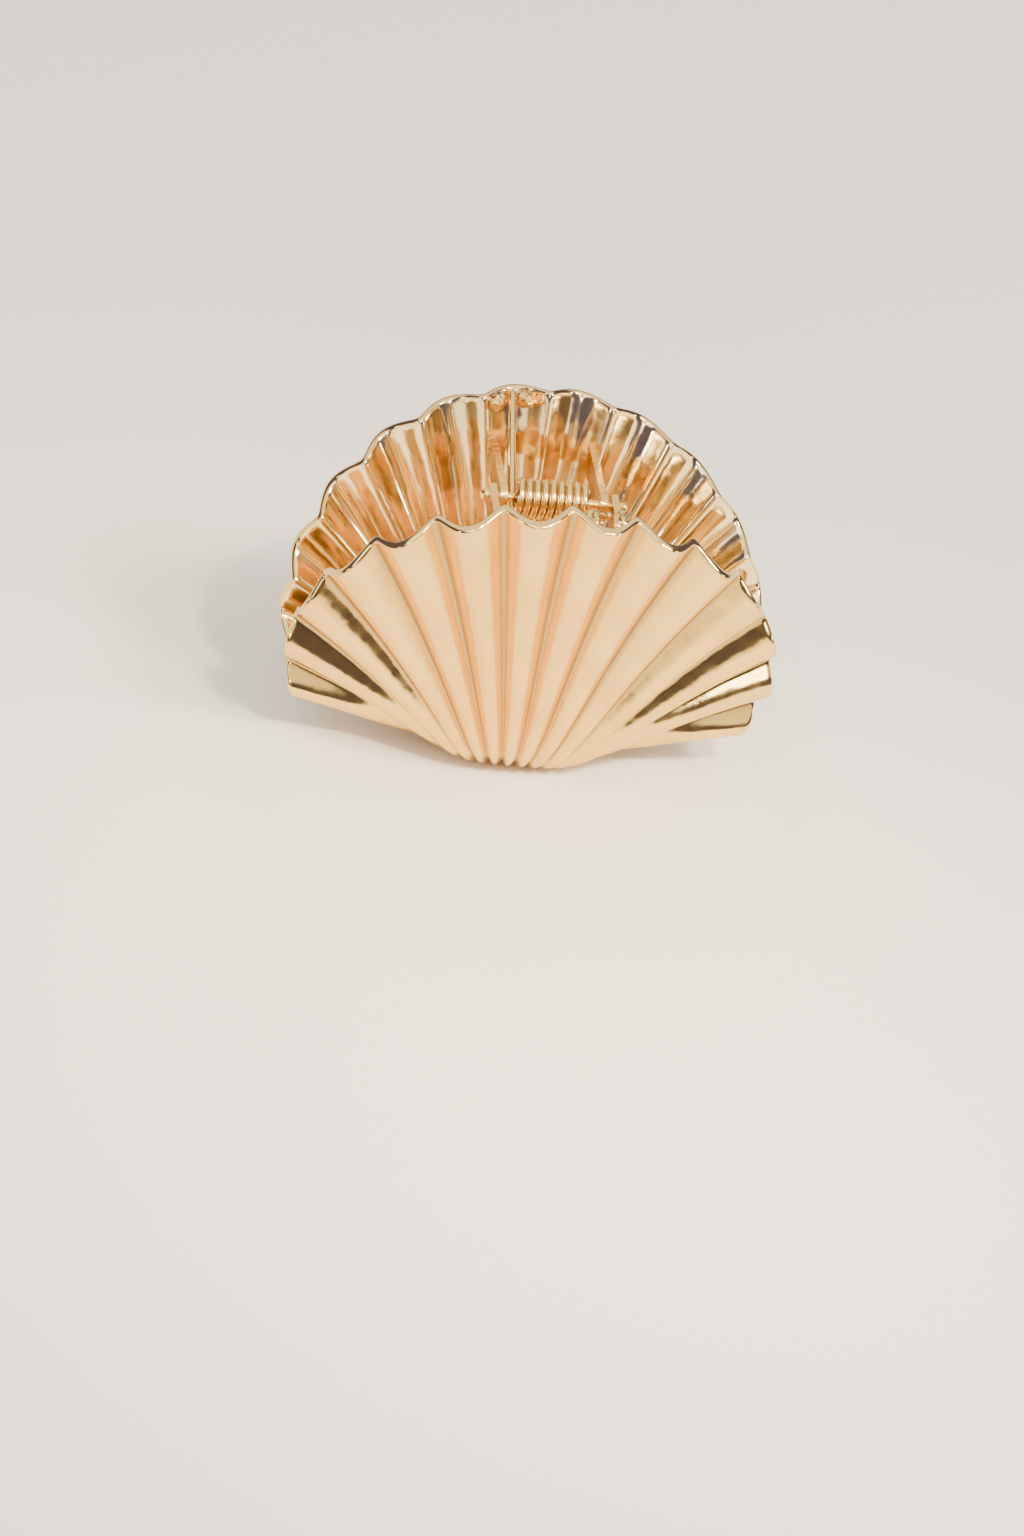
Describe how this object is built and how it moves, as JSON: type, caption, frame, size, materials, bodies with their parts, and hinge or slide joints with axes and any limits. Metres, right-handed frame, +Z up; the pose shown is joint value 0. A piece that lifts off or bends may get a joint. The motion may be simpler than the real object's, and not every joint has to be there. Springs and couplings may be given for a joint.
{
  "type": "claw clip",
  "caption": "Hair claw clip of two gold scallop shells that meet along a jaw line below, flare apart above, and turn on a pin with a torsion spring.",
  "frame": {"origin": "centre of the clip's footprint on the surface that it stands on, on the closing plane between the two shells", "axes": "+Z up from the jaw line to the fan edges; X along the hinge pin, wing to wing; the front shell is toward -Y and the back shell toward +Y"},
  "size_m": [0.0652, 0.0384, 0.0454],
  "materials": {
    "shell_gold": "cast zinc alloy, plated in polished pale gold",
    "pin_gold": "steel wire pin, plated in polished pale gold",
    "spring_gold": "drawn spring steel wire, plated in pale gold"
  },
  "bodies": {
    "front_half": {"front_shell": "shell_gold", "front_lug_left": "shell_gold", "front_lug_right": "shell_gold", "front_keeper_left": "shell_gold", "front_keeper_right": "shell_gold", "hinge_pin": "pin_gold", "torsion_spring": "spring_gold"},
    "back_half": {"back_shell": "shell_gold", "back_lug_left": "shell_gold", "back_lug_right": "shell_gold", "back_keeper_left": "shell_gold", "back_keeper_right": "shell_gold"}
  },
  "joints": [
    {"name": "jaw_hinge", "type": "hinge", "parent": "front_half", "child": "back_half", "pos_m": [0, 0, 0.0374], "axis": [1, 0, 0], "range_deg": [0, 50], "stiffness_Nm_per_rad": 0.07, "springref_deg": -74.48, "deforming": ["torsion_spring"]}
  ]
}
